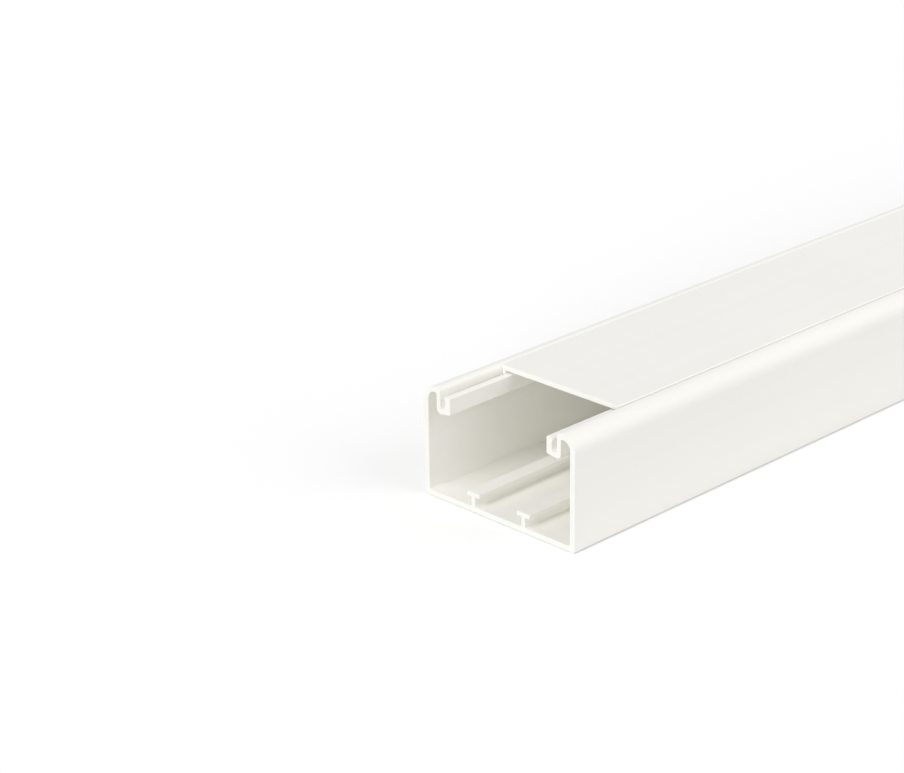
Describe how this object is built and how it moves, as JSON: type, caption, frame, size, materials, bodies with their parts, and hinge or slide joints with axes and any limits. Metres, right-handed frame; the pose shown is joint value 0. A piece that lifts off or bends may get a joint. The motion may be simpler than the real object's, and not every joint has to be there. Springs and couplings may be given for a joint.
{
  "type": "cord cover raceway",
  "caption": "Rectangular plastic cord cover raceway (cable trunking): an open base channel with J-shaped rails and two T-shaped floor ribs, and a snap lid drawn back from its front end.",
  "frame": {"origin": "middle of the flat back of the base channel, halfway along its length", "axes": "+Y along the stock away from the open front end, +Z from the back towards the lid, +X across the channel to the right as seen from the front end"},
  "size_m": [0.085, 2.0365, 0.05],
  "materials": {
    "base_pvc": "extruded white PVC-U, satin",
    "lid_pvc": "extruded white PVC-U, satin"
  },
  "bodies": {
    "base": {"trunking_base": "base_pvc"},
    "lid": {"trunking_lid": "lid_pvc"}
  },
  "joints": [
    {"name": "lid_slide", "type": "slide", "parent": "base", "child": "lid", "axis": [0, 1, 0], "range_m": [-0.0365, 0.96]}
  ]
}
